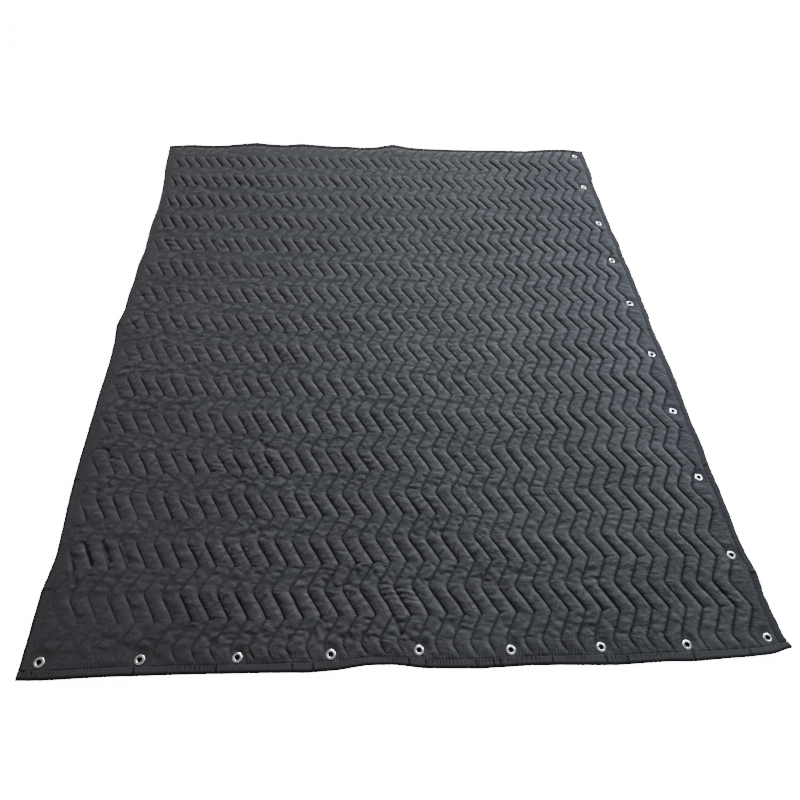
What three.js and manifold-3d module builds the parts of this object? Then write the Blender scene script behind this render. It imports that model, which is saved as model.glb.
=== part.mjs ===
// Sound dampening blanket: a zigzag quilted panel with a bound edge and a row of eyelets on two sides.
// It lies flat. x runs across, y from the front edge to the back edge, z up from the floor. Millimetres.

import * as THREE from 'three';
import Module from 'manifold-3d';

const wasm = await Module();
wasm.setup();
const { lerp, clamp } = THREE.MathUtils;

// Whole blanket
const width = 2032;
const length = 2438;
const halfWidth = width / 2;
const halfLength = length / 2;
const centreShiftX = -1;
const centreShiftY = -6.88;
const rippleReach = 200;

// Cloth
const edgeFloor = 1.5;
const edgeTop = 4.5;
const edgeInset = 5;
const stitchHeight = 4.6;
const crownHeight = 10.8;
const seamGap = 0.36;

// Zigzag quilting
const lineCount = 40;
const linePitch = 49.2;
const firstLine = -958;
const zigzagReach = 19.5;
const turnStep = 75.6;
const firstTurn = -1159.1;
const turnCount = 32;
const crownPlaces = [0.27, 0.73];

// Binding tape
const tapeWidth = 22.5;
const tapeThickness = 1.2;
const tapeTop = 6;
const tapeSteps = 3;
const tapeClear = 1.5;
const cornerGap = 2;

// Eyelets
const eyeletSegments = 12;
const eyeletHole = 6.35;
const eyeletBarrel = 7.25;
const eyeletFlange = 13.5;
const eyeletWasher = 12.5;
const eyeletUnder = 4.6;
const eyeletClear = 0.36;

// How far each edge stands out from the plain rectangle at its two ends
const edgeTrend = {
  left: { start: -5, end: 14 },
  right: { start: 10, end: -21 },
  front: { start: -2, end: 6 },
  back: { start: -35, end: 21 },
};

// Ripples of each edge, added to the trend: place along the edge and reach outwards
const edgeRipple = {
  left: [
    { at: -1219, out: -2 },
    { at: -990, out: -1 },
    { at: -885, out: -14 },
    { at: -740, out: -5 },
    { at: -560, out: 0 },
    { at: -160, out: -4 },
    { at: 12, out: 7 },
    { at: 95, out: -4 },
    { at: 345, out: -5 },
    { at: 440, out: -14 },
    { at: 600, out: -11 },
    { at: 740, out: -18 },
    { at: 1015, out: 0 },
    { at: 1219, out: 8 },
  ],
  right: [
    { at: -1219, out: 14 },
    { at: -1188, out: 4 },
    { at: -1060, out: -2 },
    { at: -985, out: 5 },
    { at: -890, out: -7 },
    { at: -620, out: -8 },
    { at: -530, out: -2 },
    { at: -270, out: 0 },
    { at: -12, out: -9 },
    { at: 70, out: -2 },
    { at: 420, out: -6 },
    { at: 505, out: -1 },
    { at: 600, out: -8 },
    { at: 940, out: -7 },
    { at: 1035, out: 4 },
    { at: 1219, out: 4 },
  ],
  front: [
    { at: -1016, out: -1 },
    { at: -700, out: -3 },
    { at: -290, out: 2 },
    { at: -215, out: -2 },
    { at: -130, out: -12 },
    { at: -60, out: -10 },
    { at: 30, out: 1 },
    { at: 160, out: 5 },
    { at: 300, out: 1 },
    { at: 520, out: 7 },
    { at: 745, out: 4 },
    { at: 890, out: -3 },
    { at: 965, out: -8 },
    { at: 1016, out: -24 },
  ],
  back: [
    { at: -1016, out: -12 },
    { at: -920, out: 3 },
    { at: -800, out: -1 },
    { at: -620, out: 22 },
    { at: -520, out: 12 },
    { at: -396, out: 21 },
    { at: -250, out: 8 },
    { at: -60, out: 1 },
    { at: 51, out: 22 },
    { at: 165, out: 1 },
    { at: 700, out: -8 },
    { at: 796, out: 2 },
    { at: 900, out: 7 },
    { at: 1016, out: -7 },
  ],
};

// Eyelets: place along the edge and distance in from it
const frontEyelets = [
  { at: -969, inset: 41 },
  { at: -720, inset: 39 },
  { at: -474, inset: 39 },
  { at: -233, inset: 39 },
  { at: 0, inset: 43 },
  { at: 247, inset: 39 },
  { at: 496, inset: 42 },
  { at: 738, inset: 40 },
  { at: 973, inset: 44 },
];
const rightEyelets = [
  { at: -930, inset: 49 },
  { at: -665, inset: 52 },
  { at: -401, inset: 54 },
  { at: -139, inset: 47 },
  { at: 130, inset: 55 },
  { at: 388, inset: 57 },
  { at: 637, inset: 48 },
  { at: 907, inset: 52 },
  { at: 1167, inset: 42 },
];

// Pads that lie lower than the rest: centre, reach and share of the crown that is lost
const flatPads = [
  { s: -760, t: -700, reach: 420, loss: 0.3 },
  { s: -700, t: 150, reach: 460, loss: 0.26 },
  { s: -640, t: 900, reach: 420, loss: 0.22 },
  { s: -300, t: 660, reach: 300, loss: 0.14 },
  { s: 260, t: 1000, reach: 320, loss: 0.1 },
];

const slate = { color: 0x34363a, roughness: 0.88, metalness: 0 };
const slateTape = { color: 0x2f3134, roughness: 0.85, metalness: 0 };
const nickel = { color: 0xc9cacb, roughness: 0.24, metalness: 1 };

// Value of a table at a place, eased from row to row
function along(table, at) {
  let i = 0;
  while (i < table.length - 2 && at > table[i + 1].at) {
    i += 1;
  }
  const a = table[i];
  const b = table[i + 1];
  const f = clamp((at - a.at) / (b.at - a.at), 0, 1);
  return lerp(a.out, b.out, f * f * (3 - 2 * f));
}

function fade(distance) {
  const f = clamp(1 - distance / rippleReach, 0, 1);
  return f * f;
}

// From the flat pattern (s across, t front to back) to where the cloth lies
function place(s, t) {
  const u = s / width + 0.5;
  const v = t / length + 0.5;
  const left = -halfWidth - lerp(edgeTrend.left.start, edgeTrend.left.end, v);
  const right = halfWidth + lerp(edgeTrend.right.start, edgeTrend.right.end, v);
  const front = -halfLength - lerp(edgeTrend.front.start, edgeTrend.front.end, u);
  const back = halfLength + lerp(edgeTrend.back.start, edgeTrend.back.end, u);
  const pullX = along(edgeRipple.right, t) * fade(halfWidth - s) - along(edgeRipple.left, t) * fade(s + halfWidth);
  const pullY = along(edgeRipple.back, s) * fade(halfLength - t) - along(edgeRipple.front, s) * fade(t + halfLength);
  return {
    x: lerp(left, right, u) + pullX + centreShiftX,
    y: lerp(front, back, v) + pullY + centreShiftY,
  };
}

// Sideways swing of the zigzag lines at a place along the blanket
function zigzag(t) {
  const turns = (t - firstTurn) / turnStep;
  const f = turns - 2 * Math.floor(turns / 2);
  return zigzagReach * (f < 1 ? 2 * f - 1 : 3 - 2 * f);
}

// Height of a pad between two stitch lines
function crown(s, t) {
  let share = 1 + 0.05 * Math.sin(s / 130 + 0.6) * Math.sin(t / 170) + 0.03 * Math.sin(t / 61 + s / 90);
  for (const pad of flatPads) {
    share -= pad.loss * Math.exp(-((s - pad.s) ** 2 + (t - pad.t) ** 2) / pad.reach ** 2);
  }
  const fromEdge = Math.min(halfLength - Math.abs(t), halfWidth - Math.abs(s)) - tapeWidth;
  const rise = clamp(fromEdge / 50, 0, 1);
  return lerp(edgeTop, stitchHeight + (crownHeight - stitchHeight) * share, 0.45 + 0.55 * rise);
}

// Columns of the quilted cloth: a stitch line, then two crown columns, from the left edge to the right
const columns = [];
const clothEdge = halfWidth - edgeInset;
const clothFold = halfWidth - tapeWidth - tapeClear;
columns.push({ s: () => -clothEdge, kind: 'edge' });
columns.push({ s: () => -clothFold, kind: 'edge' });
columns.push({ s: (t) => (-clothFold + firstLine + zigzag(t)) / 2, kind: 'crown' });
for (let k = 0; k < lineCount; k += 1) {
  const line = firstLine + k * linePitch;
  columns.push({ s: (t) => line + zigzag(t), kind: 'stitch', line: k });
  if (k < lineCount - 1) {
    for (const share of crownPlaces) {
      columns.push({ s: (t) => line + zigzag(t) + share * linePitch, kind: 'crown' });
    }
  }
}
columns.push({ s: () => clothFold, kind: 'edge' });
columns.push({ s: () => clothEdge, kind: 'edge' });

// Rows of the quilted cloth: one at each turn of the zigzag, and those inside the front and back tapes
const rowEdge = halfLength - edgeInset;
const rowFold = halfLength - tapeWidth - tapeClear;
const turns = Array.from({ length: turnCount }, (_, i) => firstTurn + i * turnStep);
const lastTurn = turns[turnCount - 1];

function topHeight(column, s, t, flatFrom) {
  if (column.kind === 'edge' || t < -rowFold + 1 || t > flatFrom) {
    return edgeTop;
  }
  return column.kind === 'stitch' ? stitchHeight : crown(s, t);
}

// A closed slab of cloth: its rows and columns make the top, a flat face at floorZ the underside.
// Past flatFrom the quilting runs out flat. pull moves the first or last row or column aside,
// where the cloth meets the next piece.
function clothSlab(rowPlaces, slabColumns, floorZ, flatFrom, pull) {
  const rows = rowPlaces.length;
  const cols = slabColumns.length;
  const points = [];
  const faces = [];
  for (let i = 0; i < rows; i += 1) {
    for (let j = 0; j < cols; j += 1) {
      const rowPull = i === 0 ? pull.firstRow ?? 0 : i === rows - 1 ? pull.lastRow ?? 0 : 0;
      const columnPull = j === 0 ? pull.firstColumn ?? 0 : j === cols - 1 ? pull.lastColumn ?? 0 : 0;
      const s = slabColumns[j].s(rowPlaces[i]) + columnPull;
      const t = rowPlaces[i] + rowPull;
      const p = place(s, t);
      points.push(new THREE.Vector3(p.x, p.y, topHeight(slabColumns[j], s, t, flatFrom)));
    }
  }
  for (let i = 0; i < rows - 1; i += 1) {
    for (let j = 0; j < cols - 1; j += 1) {
      const a = i * cols + j;
      faces.push([a, a + 1, a + cols + 1], [a, a + cols + 1, a + cols]);
    }
  }
  const rim = [];
  for (let j = 0; j < cols - 1; j += 1) {
    rim.push(j);
  }
  for (let i = 0; i < rows - 1; i += 1) {
    rim.push(i * cols + cols - 1);
  }
  for (let j = cols - 1; j > 0; j -= 1) {
    rim.push((rows - 1) * cols + j);
  }
  for (let i = rows - 1; i > 0; i -= 1) {
    rim.push(i * cols);
  }
  const under = points.length;
  for (const index of rim) {
    points.push(new THREE.Vector3(points[index].x, points[index].y, floorZ));
  }
  for (let k = 0; k < rim.length; k += 1) {
    const next = (k + 1) % rim.length;
    faces.push([rim[k], under + k, under + next], [rim[k], under + next, rim[next]]);
  }
  const outline = rim.map((_, k) => new THREE.Vector2(points[under + k].x, points[under + k].y));
  for (const [a, b, c] of THREE.ShapeUtils.triangulateShape(outline, [])) {
    faces.push([under + a, under + c, under + b]);
  }
  return solid(points, faces);
}

function solid(points, faces) {
  const geometry = new THREE.BufferGeometry();
  geometry.setAttribute('position', new THREE.Float32BufferAttribute(points.flatMap((p) => p.toArray()), 3));
  geometry.setIndex(faces.flat());
  return geometry;
}

// A cross-section carried along a list of stations, closed at both ends
function sweep(stations, section) {
  const points = [];
  const faces = [];
  const n = section.length;
  for (const station of stations) {
    for (const corner of section) {
      points.push(station(corner));
    }
  }
  for (let i = 0; i < stations.length - 1; i += 1) {
    for (let k = 0; k < n; k += 1) {
      const a = i * n + k;
      const b = i * n + ((k + 1) % n);
      faces.push([a, b, b + n], [a, b + n, a + n]);
    }
  }
  const cap = section.map((c) => new THREE.Vector2(c.inset, c.z));
  const last = (stations.length - 1) * n;
  const clockwise = THREE.ShapeUtils.isClockWise(cap);
  for (const [a, b, c] of THREE.ShapeUtils.triangulateShape(cap, [])) {
    const face = clockwise ? [a, c, b] : [a, b, c];
    faces.push([face[0], face[2], face[1]], [last + face[0], last + face[1], last + face[2]]);
  }
  return solid(points, inwards(points, faces) ? faces.map(([a, b, c]) => [a, c, b]) : faces);
}

// Whether a closed set of faces is inside out, from the sign of its volume
function inwards(points, faces) {
  const cross = new THREE.Vector3();
  const volume = (sum, [a, b, c]) => sum + points[a].dot(cross.crossVectors(points[b], points[c]));
  return faces.reduce(volume, 0) < 0;
}

// Binding tape: a strip folded over the edge of the cloth, under it, round its rim and on top of it
const tapeSection = [
  { inset: tapeWidth, z: 0 },
  { inset: tapeWidth, z: tapeThickness },
  { inset: tapeThickness, z: tapeThickness },
  { inset: tapeThickness, z: tapeTop - tapeThickness },
  { inset: tapeWidth, z: tapeTop - tapeThickness },
  { inset: tapeWidth, z: tapeTop },
  { inset: 0, z: tapeTop - 0.8 },
  { inset: 0, z: 0 },
];

// A folded section laid along one edge, at the places given along it
function edging(side, places, section) {
  const acrossEnds = side === 'front' || side === 'back';
  const sign = side === 'left' || side === 'front' ? -1 : 1;
  const stations = places.map((at) => (corner) => {
    const s = acrossEnds ? at : sign * (halfWidth - corner.inset);
    const t = acrossEnds ? sign * (halfLength - corner.inset) : at;
    const p = place(s, t);
    return new THREE.Vector3(p.x, p.y, corner.z);
  });
  return sweep(stations, section);
}

// Places along the front or back edge: each row of its ripple table, and steps between
function ripplePlaces(side) {
  const table = edgeRipple[side];
  const places = [];
  for (let i = 0; i < table.length - 1; i += 1) {
    for (let k = 0; k < tapeSteps; k += 1) {
      places.push(lerp(table[i].at, table[i + 1].at, k / tapeSteps));
    }
  }
  return [...places, table[table.length - 1].at];
}

// Places along the left or right edge: the rows of the quilting, between the front and back tapes
function rowPlaces() {
  const end = halfLength - tapeWidth - cornerGap;
  return [-end, ...turns, end];
}

function tape(side) {
  const places = side === 'front' || side === 'back' ? ripplePlaces(side) : rowPlaces();
  return edging(side, places, tapeSection);
}

// Eyelet: rolled flange on the face, barrel through the cloth and a dished washer behind
function eyelet() {
  const profile = [
    new THREE.Vector2(eyeletHole, 0),
    new THREE.Vector2(eyeletWasher, edgeFloor - eyeletClear),
    new THREE.Vector2(eyeletBarrel, edgeFloor - eyeletClear),
    new THREE.Vector2(eyeletBarrel, eyeletUnder),
    new THREE.Vector2(eyeletFlange, eyeletUnder),
    new THREE.Vector2(eyeletFlange - 4, eyeletUnder + 2.2),
    new THREE.Vector2(eyeletHole, eyeletUnder + 1.5),
    new THREE.Vector2(eyeletHole, 0),
  ];
  return upright(new THREE.LatheGeometry(profile, eyeletSegments));
}

// Space that an eyelet takes in the cloth: its barrel, and a seat pressed into the quilting
function eyeletSeat() {
  const seat = eyeletUnder - eyeletClear;
  const profile = [
    new THREE.Vector2(0, -2),
    new THREE.Vector2(eyeletBarrel + eyeletClear, -2),
    new THREE.Vector2(eyeletBarrel + eyeletClear, seat),
    new THREE.Vector2(eyeletFlange + eyeletClear, seat),
    new THREE.Vector2(eyeletFlange + eyeletClear, 30),
    new THREE.Vector2(0, 30),
  ];
  return upright(new THREE.LatheGeometry(profile, eyeletSegments));
}

// Lathe forms turn round y, so they are stood up along z
function upright(geometry) {
  return geometry.rotateX(Math.PI / 2);
}

// Conversions between three.js geometry and solids that can be cut
function toSolid(geometry, x = 0, y = 0) {
  const source = geometry.index ? geometry.toNonIndexed() : geometry;
  const position = source.attributes.position;
  const corners = [];
  const triangles = [];
  const seen = new Map();
  for (let i = 0; i < position.count; i += 1) {
    const p = [position.getX(i) + x, position.getY(i) + y, position.getZ(i)];
    const key = p.map((value) => Math.round(value * 1e4)).join(',');
    if (!seen.has(key)) {
      seen.set(key, corners.length / 3);
      corners.push(...p);
    }
    triangles.push(seen.get(key));
  }
  const kept = [];
  for (let i = 0; i < triangles.length; i += 3) {
    const [a, b, c] = triangles.slice(i, i + 3);
    if (a !== b && b !== c && c !== a) {
      kept.push(a, b, c);
    }
  }
  const mesh = new wasm.Mesh({
    numProp: 3,
    vertProperties: new Float32Array(corners),
    triVerts: new Uint32Array(kept),
  });
  return new wasm.Manifold(mesh);
}

function toGeometry(manifold) {
  const mesh = manifold.getMesh();
  const geometry = new THREE.BufferGeometry();
  geometry.setAttribute('position', new THREE.Float32BufferAttribute(mesh.vertProperties, 3));
  geometry.setIndex(Array.from(mesh.triVerts));
  return geometry;
}

// Where the eyelets stand
const frontPlaces = frontEyelets.map((row) => place(row.at, -halfLength + row.inset));
const rightPlaces = rightEyelets.map((row) => place(halfWidth - row.inset, row.at));

function pierced(geometry, places) {
  let cloth = toSolid(geometry);
  for (const p of places) {
    cloth = cloth.subtract(toSolid(eyeletSeat(), p.x, p.y));
  }
  return toGeometry(cloth);
}

// Room for the tape's under fold along the left and back edges of the panel
function underFold(side) {
  const section = [
    { inset: -10, z: -5 },
    { inset: tapeWidth + tapeClear, z: -5 },
    { inset: tapeWidth + tapeClear, z: edgeFloor },
    { inset: -10, z: edgeFloor },
  ];
  const reach = halfLength + 20;
  return edging(side, side === 'left' ? [-reach, ...turns, reach] : ripplePlaces(side), section);
}

const lastPanelLine = columns.findIndex((column) => column.line === lineCount - 2);
const panelRows = [...turns, rowEdge];
const rightRows = [...turns, rowFold, rowEdge];
const frontRows = [-rowEdge, -rowFold, turns[0]];

const panelSlab = clothSlab(panelRows, columns.slice(0, lastPanelLine + 1), 0, lastTurn - 1, {
  firstRow: seamGap / 2,
  lastColumn: -seamGap / 2,
});
const panel = toGeometry(
  toSolid(panelSlab).subtract(toSolid(underFold('left'))).subtract(toSolid(underFold('back'))),
);
const rightStrip = pierced(
  clothSlab(rightRows, columns.slice(lastPanelLine), edgeFloor, rowFold - 1, {
    firstRow: seamGap / 2,
    firstColumn: seamGap / 2,
  }),
  rightPlaces,
);
const frontStrip = pierced(
  clothSlab(frontRows, columns, edgeFloor, rowFold - 1, { lastRow: -seamGap / 2 }),
  frontPlaces,
);

const blanket = new THREE.Group();
blanket.name = 'sound_dampening_blanket';

function add(name, geometry, look, at = { x: 0, y: 0 }) {
  const mesh = new THREE.Mesh(geometry, new THREE.MeshStandardMaterial(look));
  mesh.name = name;
  mesh.position.set(at.x, at.y, 0);
  blanket.add(mesh);
}

add('quilted_panel', panel, slate);
add('eyelet_strip_front', frontStrip, slate);
add('eyelet_strip_right', rightStrip, slate);
for (const side of ['front', 'back', 'left', 'right']) {
  add(`binding_${side}`, tape(side), slateTape);
}
frontPlaces.forEach((p, i) => add(`eyelet_front_${i + 1}`, eyelet(), nickel, p));
rightPlaces.forEach((p, i) => add(`eyelet_right_${i + 1}`, eyelet(), nickel, p));

export default blanket;
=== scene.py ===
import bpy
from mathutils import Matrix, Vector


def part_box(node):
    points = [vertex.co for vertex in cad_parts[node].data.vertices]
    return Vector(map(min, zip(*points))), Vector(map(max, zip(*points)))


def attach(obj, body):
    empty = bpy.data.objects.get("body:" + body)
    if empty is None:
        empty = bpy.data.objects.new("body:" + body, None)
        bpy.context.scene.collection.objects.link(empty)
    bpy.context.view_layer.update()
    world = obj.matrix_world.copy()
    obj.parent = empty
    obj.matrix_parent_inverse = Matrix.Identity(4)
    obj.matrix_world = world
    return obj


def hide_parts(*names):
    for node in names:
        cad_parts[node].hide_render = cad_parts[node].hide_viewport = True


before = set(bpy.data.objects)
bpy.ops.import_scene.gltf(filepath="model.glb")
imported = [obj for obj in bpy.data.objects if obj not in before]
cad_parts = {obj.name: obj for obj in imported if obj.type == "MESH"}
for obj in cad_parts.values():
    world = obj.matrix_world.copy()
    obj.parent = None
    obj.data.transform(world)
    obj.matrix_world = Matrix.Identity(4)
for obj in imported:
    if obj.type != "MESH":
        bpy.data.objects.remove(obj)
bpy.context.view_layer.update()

from types import SimpleNamespace
import bpy
import numpy as np
from mathutils import Vector

# sound dampening blanket, zigzag quilted, taped edges, eyelets on the front and right edges
# lengths in the tables are millimetres, meshes are metres; s runs right and t runs back over the flat pattern
mm = 0.001

blanket = {
    "width": 2032.0, "length": 2438.0,    # flat size, 80 by 96 in
    "shift": (-1.0, -6.88),    # puts the outline's middle on the origin
    "rippleReach": 200.0,    # how far an edge ripple runs into the cloth
    "leftEnds": (-5.0, 14.0), "rightEnds": (13.0, -14.5),    # edges off the rectangle, front and back end
    "frontEnds": (0.4, 8.2), "backEnds": (-35.0, 21.0),    # the same, left and right end
    "bowLeft": (9.0, 7.0),    # the quilting lies this far left in the middle, and more a metre back
    "bowBack": (4.0, 7.0, -100.0, 450.0),    # and this far back round t, more at the sides, over the reach
    "bowCorner": 8.0,    # but less at the back left
}
halfWidth = blanket["width"] / 2
halfLength = blanket["length"] / 2

# ripples of each edge: place along it, reach outwards
edgeRipples = {
    "left": [(-1219, -2), (-1100, -2), (-990, -1), (-930, -9), (-885, -14), (-800, -9), (-700, -3), (-560, 0),
             (-320, -1), (-150, -4), (-60, 0), (12, 7), (60, 0), (95, -4), (180, -2), (265, -7), (345, -5),
             (430, -14), (600, -11), (720, -18), (850, -15), (940, -8), (1015, 0), (1110, 4), (1219, 8)],
    "right": [(-1219, 14), (-1188, 5), (-1130, 3), (-1060, -2), (-985, 5), (-935, -4), (-880, -7), (-700, -5),
              (-620, -8), (-530, -2), (-445, -5), (-360, -3), (-270, 0), (-180, 0), (-100, -3), (-12, -9),
              (60, -2), (330, -2), (421, -6), (505, -1), (590, -8), (700, -7), (860, -6), (940, -7),
              (1000, 3), (1040, 5), (1219, 4)],
    "front": [(-1016, -1), (-960, 1), (-800, -3), (-600, -3), (-400, -1), (-290, 2), (-215, -2), (-140, -12),
              (-65, -11), (10, 0), (90, 3), (154, 5), (300, 1), (400, 3), (520, 7), (668, 2), (745, 4),
              (815, 0), (890, -3), (965, -8), (1016, -24)],
    "back": [(-1016, -12), (-920, 3), (-843, -3), (-769, 1), (-694, 12), (-620, 22), (-545, 14), (-471, 11),
             (-396, 20), (-322, 16), (-247, 8), (-173, 8), (-98, 0), (-24, 5), (51, 22), (125, 6), (200, 0),
             (350, -6), (500, -7), (650, -6), (720, -8), (796, 2), (880, 7), (960, 5), (1016, -7)],
}

randoms = np.random.default_rng(23)
noiseTable = randoms.random((256, 256))


def softNoise(x, y):
    # value noise from -1 to 1: random numbers on a unit lattice, eased between the four corners round a point
    xi, yi = np.floor(x).astype(int), np.floor(y).astype(int)
    fx, fy = x - xi, y - yi
    fx, fy = fx * fx * (3 - 2 * fx), fy * fy * (3 - 2 * fy)
    a, b = noiseTable[xi % 256, yi % 256], noiseTable[(xi + 1) % 256, yi % 256]
    c, d = noiseTable[xi % 256, (yi + 1) % 256], noiseTable[(xi + 1) % 256, (yi + 1) % 256]
    return 2 * ((a * (1 - fx) + b * fx) * (1 - fy) + (c * (1 - fx) + d * fx) * fy) - 1


def easeStep(low, high, x):
    # 0 below low, 1 above high, a smooth S between; it falls where low is the larger
    f = np.clip((x - low) / (high - low), 0, 1)
    return f * f * (3 - 2 * f)


def zone(s, t, across=None, along=None):
    # share of a part of the blanket: an S from 0 to 1 between two places across, times one between two along
    share = 1.0
    for x, ends in ((s, across), (t, along)):
        if ends:
            share = share * easeStep(*ends, x)
    return share


def hump(x, middle, reach):
    # bell curve, 1 at the middle
    return np.exp(-((x - middle) / reach) ** 2)


def spot(s, t, s0, t0, reach):
    # round bell, 1 at the place
    return np.exp(-((s - s0) ** 2 + (t - t0) ** 2) / reach ** 2)


def insetOf(s, t):
    # distance in from the nearest edge
    return np.minimum(halfWidth - np.abs(s), halfLength - np.abs(t))


def rippleCurve(rows, x):
    # straight lines through the rows, rounded by a moving Hann window 60 mm wide
    fine = np.arange(rows[0][0] - 60, rows[-1][0] + 61, 4.0)
    line = np.interp(fine, [r[0] for r in rows], [r[1] for r in rows])
    window = np.hanning(15)
    return np.interp(x, fine, np.convolve(np.pad(line, 7, mode="edge"), window / window.sum(), mode="valid"))


def bowOf(s, t):
    # how far the quilting lies left and back of its even places, 0 beside the tapes
    free = np.clip((insetOf(s, t) - 24) / 36, 0, 1)
    bow, more = blanket["bowLeft"]
    left = free * (bow + more * t / 1000) * (1 - (s / halfWidth) ** 2)
    bow, more, middle, reach = blanket["bowBack"]
    back = (bow + more * (s / 800) ** 2) * hump(t, middle, reach)
    return left, free * (back - blanket["bowCorner"] * zone(s, t, (-600, -900), (250, 900)))


def placeCloth(s, t):
    # pattern to floor: a four-sided patch between the edge trends, each edge's ripples fading with distance
    # squared, then the bow and a slow wander of the inner cloth
    u, v = s / blanket["width"] + 0.5, t / blanket["length"] + 0.5
    ends = lambda name, f: blanket[name][0] * (1 - f) + blanket[name][1] * f
    fade = lambda d: np.clip(1 - d / blanket["rippleReach"], 0, 1) ** 2
    ripple = lambda side, at, d: rippleCurve(edgeRipples[side], at) * fade(d)
    left, right = -halfWidth - ends("leftEnds", v), halfWidth + ends("rightEnds", v)
    front, back = -halfLength - ends("frontEnds", u), halfLength + ends("backEnds", u)
    x = left * (1 - u) + right * u + blanket["shift"][0]
    y = front * (1 - v) + back * v + blanket["shift"][1]
    x = x + ripple("right", t, halfWidth - s) - ripple("left", t, s + halfWidth)
    y = y + ripple("back", s, halfLength - t) - ripple("front", s, t + halfLength)
    left, back = bowOf(s, t)
    wander = np.clip((insetOf(s, t) - 30) / 80, 0, 1)
    x = x - left + wander * (2.2 * softNoise(s / 190 + 5, t / 240) + 0.9 * softNoise(s / 60, t / 70 + 9))
    y = y + back + wander * (2.4 * softNoise(s / 210, t / 200 + 31) + 0.8 * softNoise(s / 80 + 40, t / 60))
    return x, y


# places where the edge stands off the floor: pattern place, reach across and along, height
lifts = [
    (1016, -1219, 70, 60, 5.0), (51, 1219, 70, 110, 7.0), (-620, 1219, 90, 90, 4.0),
    (-396, 1219, 80, 80, 3.5), (890, 1219, 120, 90, 3.0), (-1016, 12, 70, 60, 4.0), (1016, -985, 60, 40, 3.0),
]


def liftOff(s, t):
    # a sum of soft bumps, one for each row
    return sum(high * hump(s, s0, reachS) * hump(t, t0, reachT) for s0, t0, reachS, reachT, high in lifts)


eyelets = {
    "hole": 6.35, "barrel": 7.25, "flange": 13.5, "washer": 12.5,    # radii
    "under": 4.6,    # height of the flange's underside
    "segments": 44, "lean": 0.022,    # round the ring, and how much rings lean
    "opening": 5.0, "least": 8.4, "spread": 30.0,    # how the cloth is pushed out round the hole
    "pull": 24.0, "seat": (13.5, 44.0),    # and where it eases down to its seat
}
eyeletNames = ["eyelet_%s_%d" % (edge, i) for edge in ("front", "right") for i in range(1, 10)]


def eyeletCentres():
    # each eyelet stands at the middle of its node in the frame
    return np.array([(np.array(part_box(n)[0]) + np.array(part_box(n)[1]))[:2] / 2 for n in eyeletNames]) / mm


eyeletXY = eyeletCentres()


def eyeletGapOf(x, y):
    # distance from the nearest eyelet's centre
    return np.min([np.hypot(x - cx, y - cy) for cx, cy in eyeletXY], axis=0)


quilt = {
    "lines": 40, "pitch": 48.95, "first": -965.0,    # stitch lines and where the first one runs
    "swing": 19.5, "turn": 75.55, "firstTurn": -1156.3,    # zigzag reach, leg length, first left turn
    "stitchZ": 3.7, "crownZ": 12.8, "edgeZ": 4.5,    # heights of stitches, pads and bound edge
    "tape": 22.5, "clothEdge": 5.0,    # tape width, cloth edge inside the tape
    "columns": [0, 0.035, 0.08, 0.14, 0.24, 0.36, 0.5, 0.64, 0.76, 0.86, 0.92, 0.965],    # across one channel
    "leftColumns": [0, 0.2, 0.42, 0.5, 0.6, 0.72, 0.84, 0.93],    # left of the first line
    "rightColumns": [0, 0.06, 0.13, 0.2, 0.28, 0.36, 0.44, 0.52, 0.6, 0.68, 0.78, 0.89, 1.0],
    "dome": (2.3, 0.66),    # powers of a pad's section
    "bands": [0, 5, 10, 20, 31],    # legs where the panel's meshes part
    "legRows": [26, 26, 18, 12],    # rows a leg in each band
    "mapScale": 1.125,    # quilt map along a channel, against across
    "slack": 0.27,    # what the rising legs' pads lack at the left
    "slackRise": (3.2, 3.6),    # mm that flat and slack pads stand up at their stitches
}

# pads that lie flatter: pattern place, reach, share lost
flatPads = [
    (-830, -640, 340, 0.18), (-930, -1150, 190, 0.62), (-720, -1175, 170, 0.30), (-760, 60, 420, 0.20),
    (-700, 760, 440, 0.06), (-760, 1225, 260, 0.20), (-420, 1228, 260, 0.26), (-60, 1228, 260, 0.30),
    (320, 1228, 260, 0.24), (-330, 660, 300, 0.08),
]

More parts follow.
